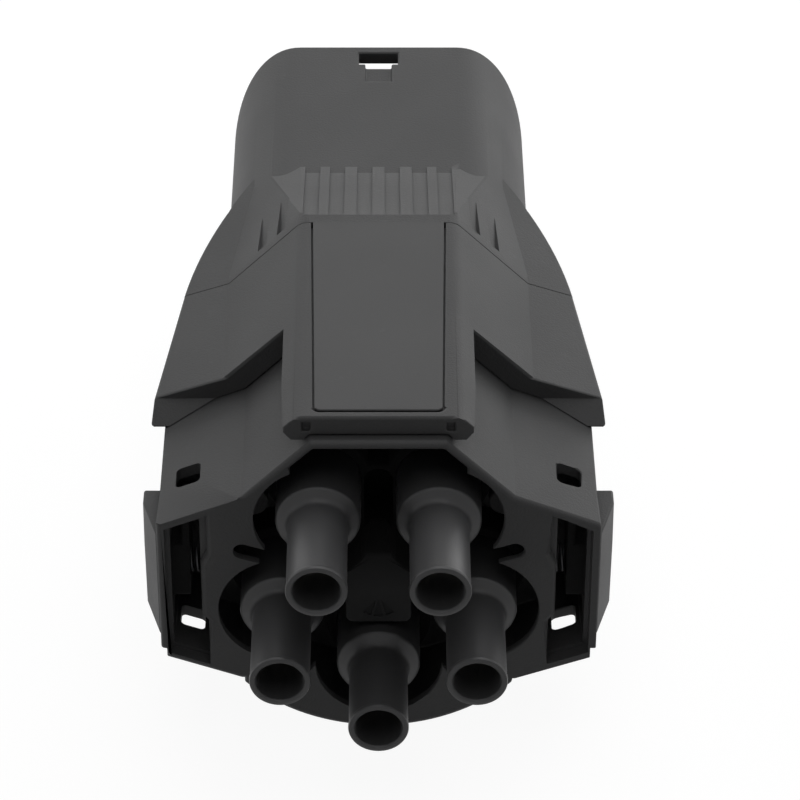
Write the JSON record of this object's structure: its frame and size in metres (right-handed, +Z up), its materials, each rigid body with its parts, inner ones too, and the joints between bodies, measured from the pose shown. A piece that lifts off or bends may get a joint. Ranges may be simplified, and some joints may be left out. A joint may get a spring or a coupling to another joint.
{
  "type": "electric vehicle charging adapter",
  "caption": "Hand-held charging adapter: a ring of contact tubes at the front, a faceted body with side buttons, and a hollow plug sleeve with a latch window at the rear.",
  "frame": {"origin": "middle of the bounding box's bottom face, on the flat underside that the adapter lies on", "axes": "+X to the right and +Y away from somebody who looks at the contact tubes' mouths; +Z up, through the blank label plate"},
  "size_m": [0.087, 0.1634, 0.073],
  "materials": {
    "charcoal": "fine moulded grain",
    "label": "smooth matte",
    "insulator": "matte",
    "tube": "satin",
    "contact": "silver plated",
    "steel": "zinc plated",
    "spring": "black oxide",
    "board": "lacquered board",
    "component": "lacquered",
    "seal": "soft rubber"
  },
  "bodies": {
    "adapter": {"rear_shell": "charcoal", "front_cover": "charcoal", "contact_frame": "charcoal", "retainer_plate": "charcoal", "mid_frame": "charcoal", "label_plate": "label", "insulator_block": "insulator", "pin_insert": "insulator", "tube_upper_left": "tube", "tube_upper_right": "tube", "tube_lower_left": "tube", "tube_lower_right": "tube", "tube_bottom": "tube", "contact_upper_left": "contact", "contact_upper_right": "contact", "contact_lower_left": "contact", "contact_lower_right": "contact", "contact_bottom": "contact", "socket_springs": "steel", "retainer_screws": "steel", "board_screws": "steel", "mid_frame_screws": "steel", "assembly_screws": "steel", "left_button_spring": "spring", "right_button_spring": "spring", "coding_board": "board", "coding_resistor": "component", "temperature_sensor": "component", "shell_seal": "seal"},
    "left_button": {"left_button": "charcoal"},
    "right_button": {"right_button": "charcoal"}
  },
  "joints": [
    {"name": "left_button_press", "type": "slide", "parent": "adapter", "child": "left_button", "axis": [1, 0, 0], "range_m": [0, 0.002], "stiffness_N_per_m": 800, "springref_m": -0.002, "deforming": ["left_button_spring"]},
    {"name": "right_button_press", "type": "slide", "parent": "adapter", "child": "right_button", "axis": [-1, 0, 0], "range_m": [0, 0.002], "stiffness_N_per_m": 800, "springref_m": -0.002, "deforming": ["right_button_spring"]}
  ]
}
